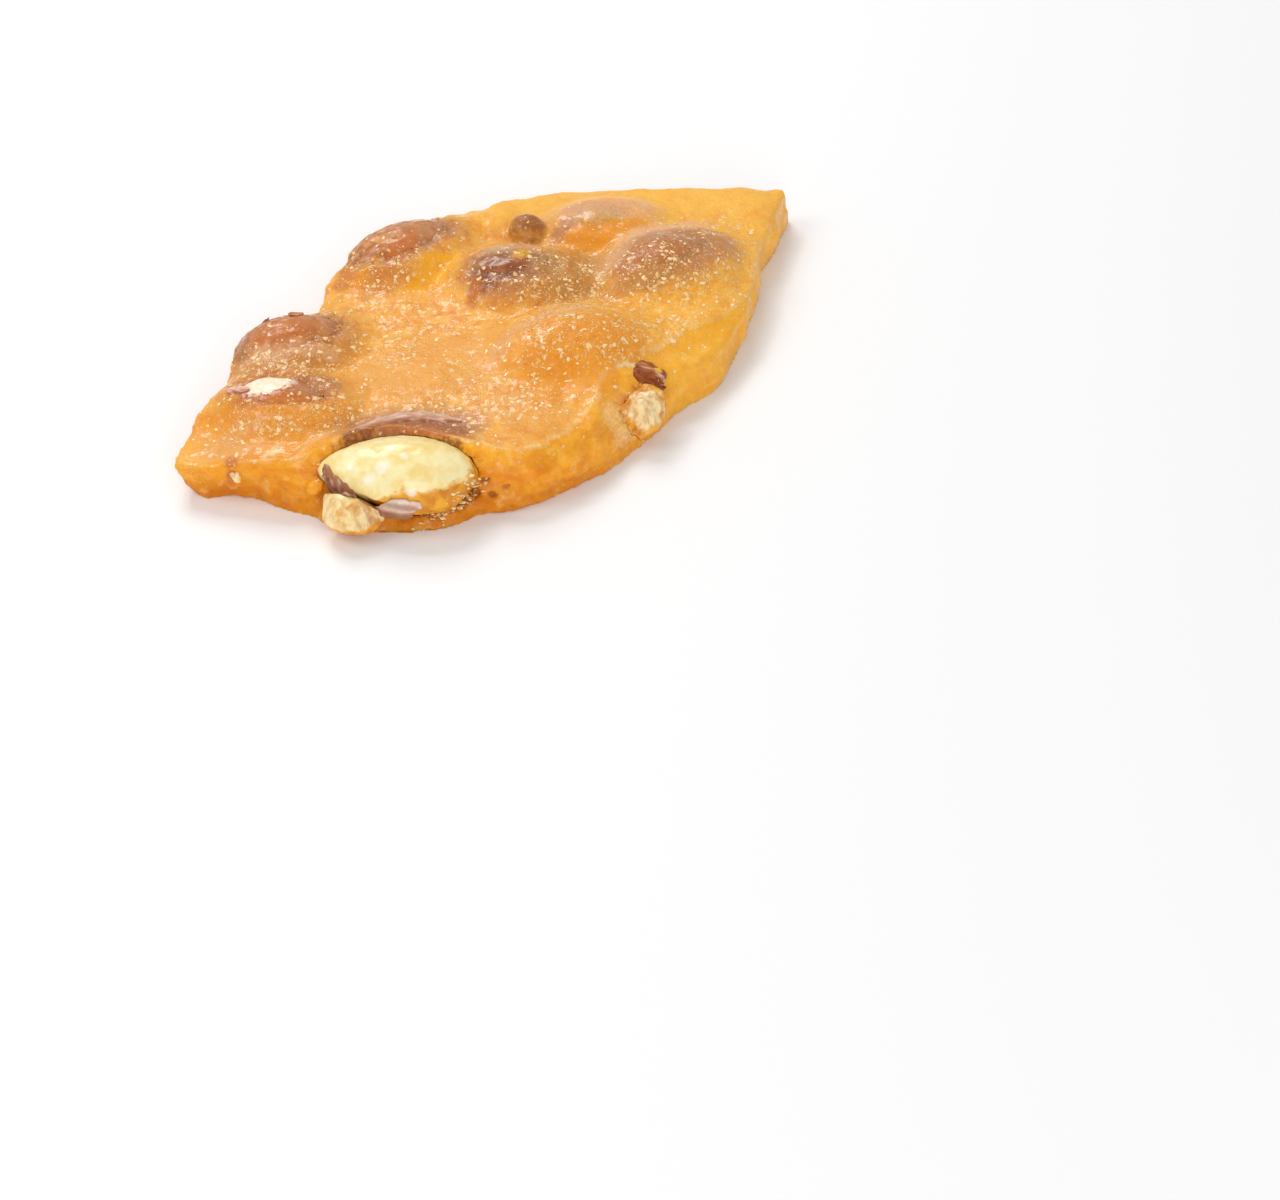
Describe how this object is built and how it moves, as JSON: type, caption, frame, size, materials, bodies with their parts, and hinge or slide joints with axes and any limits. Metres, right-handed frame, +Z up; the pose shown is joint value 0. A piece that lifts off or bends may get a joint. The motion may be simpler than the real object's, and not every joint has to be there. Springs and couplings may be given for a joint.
{
  "type": "peanut brittle shard",
  "caption": "Broken shard of amber candy sheet, flat underneath, with roasted peanuts swelling through its top and standing out of its broken edges.",
  "frame": {"origin": "centre of the part's box in plan, on the flat underside", "axes": "+Z up out of the poured top; +X along the shard's longer side of the box; -Y is the broken edge where the skinned peanut lies bare"},
  "size_m": [0.0754, 0.0676, 0.0104],
  "materials": {
    "candy": "cloudy amber candy, satin, with sugary specks",
    "peanut_skin": "roasted peanut skin, red brown, under a thin film of candy",
    "peanut_kernel": "bare roasted peanut, cream with golden edges"
  },
  "bodies": {
    "root": {"candy_sheet": "candy", "peanut_left_front": "peanut_skin", "peanut_left_rim": "peanut_skin", "peanut_back_left": "peanut_skin", "peanut_middle": "peanut_skin", "peanut_back_middle": "peanut_skin", "peanut_right": "peanut_skin", "peanut_front_bare": "peanut_kernel", "peanut_piece_front": "peanut_kernel", "peanut_piece_right": "peanut_kernel", "peanut_bud_back": "peanut_skin"}
  },
  "joints": []
}
